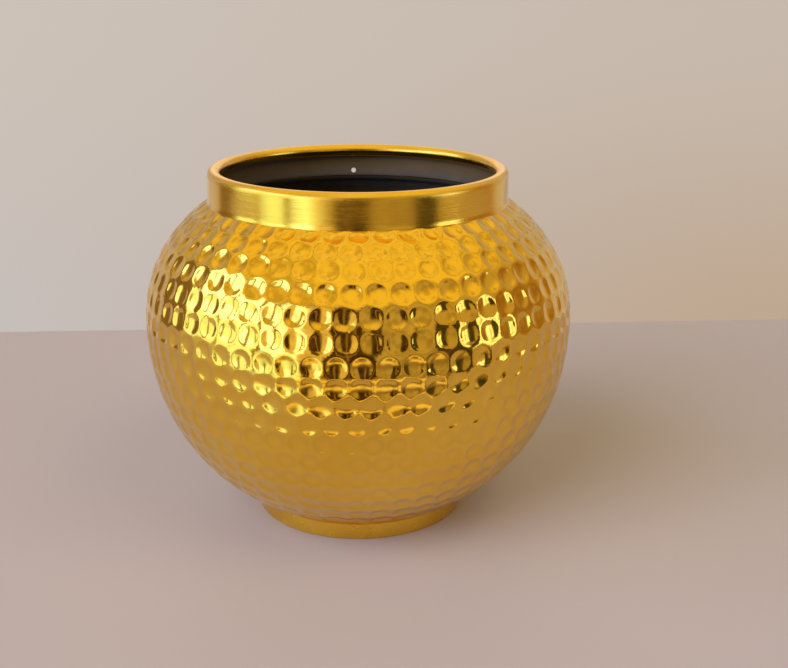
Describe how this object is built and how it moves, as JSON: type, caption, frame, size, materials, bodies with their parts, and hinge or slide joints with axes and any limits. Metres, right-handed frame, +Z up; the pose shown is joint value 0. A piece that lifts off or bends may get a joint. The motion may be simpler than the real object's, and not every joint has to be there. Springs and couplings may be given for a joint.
{
  "type": "hammered brass planter pot",
  "caption": "Round-bellied brass planter pot with hammered bowl, short straight neck, wired rim, plain foot ring and black lining.",
  "frame": {"origin": "centre of the flat face that the foot ring stands on", "axes": "+Z up along the pot's axis, out of the mouth; +Y towards the small hole in the neck"},
  "size_m": [0.2, 0.2, 0.1655],
  "materials": {
    "hammered_brass": "polished, dimpled all over by a round-nosed hammer, clear lacquered",
    "brushed_brass": "polished with fine lines left by the lathe",
    "wire": "drawn, hidden inside the rolled rim",
    "foot_brass": "plain satin",
    "braze": "brazing alloy, hidden",
    "black_lining": "black lacquer, satin"
  },
  "bodies": {
    "root": {"bowl_shell": "hammered_brass", "neck_collar": "brushed_brass", "rim_wire": "wire", "foot_ring": "foot_brass", "neck_braze": "braze", "foot_braze": "braze", "inner_lining": "black_lining"}
  },
  "joints": []
}
